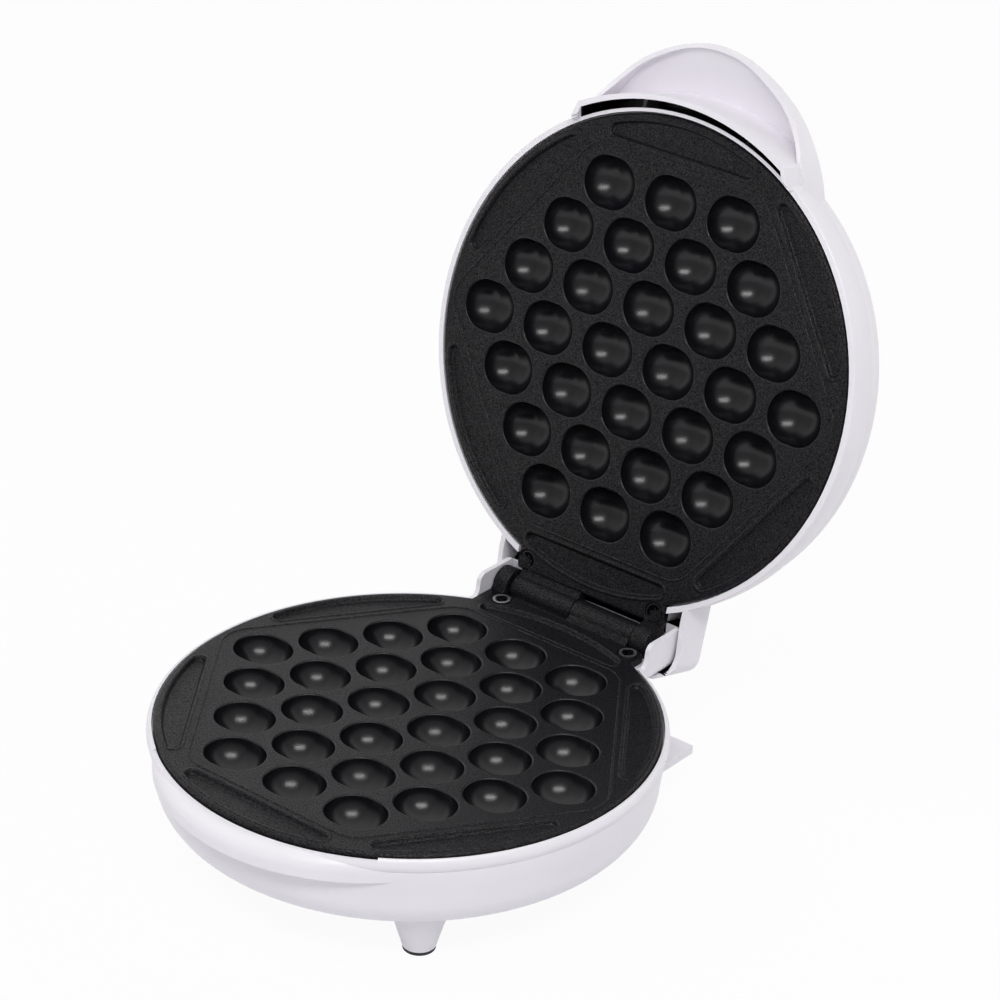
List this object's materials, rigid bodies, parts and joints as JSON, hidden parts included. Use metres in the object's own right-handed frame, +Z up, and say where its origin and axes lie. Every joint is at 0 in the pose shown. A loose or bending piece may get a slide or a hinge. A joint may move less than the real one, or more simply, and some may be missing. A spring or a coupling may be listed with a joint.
{
  "type": "bubble waffle maker",
  "caption": "Round hinged bubble waffle maker with two cast grill plates, a white moulded base on feet and a lid with a scooped handle, shown open.",
  "frame": {"origin": "middle of the open appliance's bounding box, on the table under the feet", "axes": "+Z up, -Y towards the front and the handle of the shut lid, +X to the right, hinge pin along X at the back"},
  "size_m": [0.199, 0.2925, 0.2739],
  "materials": {
    "white_shell": "cool white moulded plastic, satin gloss",
    "nonstick": "cast aluminium with a black non-stick coating",
    "screw_steel": "zinc plated steel screws",
    "pin_steel": "ground stainless pin",
    "sheath": "heat stained heater sheath",
    "strap_steel": "galvanised sheet",
    "shield_sheet": "thin aluminised steel sheet",
    "ceramic": "plain technical ceramic",
    "stat_can": "phenolic body of a disc thermostat",
    "rubber_pad": "grey rubber foot pads",
    "gland_rubber": "pale flexible cord bushing",
    "red_lens": "red transparent lens",
    "green_lens": "green transparent lens",
    "lamp_glass": "small neon lamp"
  },
  "bodies": {
    "base": {"base_clamp_screws": "screw_steel", "base_cord_gland": "gland_rubber", "base_element_clamps": "strap_steel", "base_foot_pads": "rubber_pad", "base_fuse_clip": "strap_steel", "base_fuse_screw": "screw_steel", "base_heat_shield": "shield_sheet", "base_heating_element": "sheath", "base_plate": "nonstick", "base_plate_screws": "screw_steel", "base_shell": "white_shell", "base_shield_screws": "screw_steel", "base_terminal_block": "ceramic", "base_terminal_screws": "screw_steel", "base_thermal_fuse": "ceramic", "hinge_pin": "pin_steel"},
    "lid": {"lid_clamp_screws": "screw_steel", "lid_element_clamps": "strap_steel", "lid_heat_shield": "shield_sheet", "lid_heating_element": "sheath", "lid_plate": "nonstick", "lid_plate_screws": "screw_steel", "lid_power_lamp": "lamp_glass", "lid_power_lens": "red_lens", "lid_ready_lamp": "lamp_glass", "lid_ready_lens": "green_lens", "lid_shell": "white_shell", "lid_shield_screws": "screw_steel", "lid_thermostat": "stat_can"}
  },
  "joints": [
    {"name": "lid_hinge", "type": "hinge", "parent": "base", "child": "lid", "pos_m": [0, 0.06314, 0.0537], "axis": [1, 0, 0], "range_deg": [0, 104.9]}
  ]
}
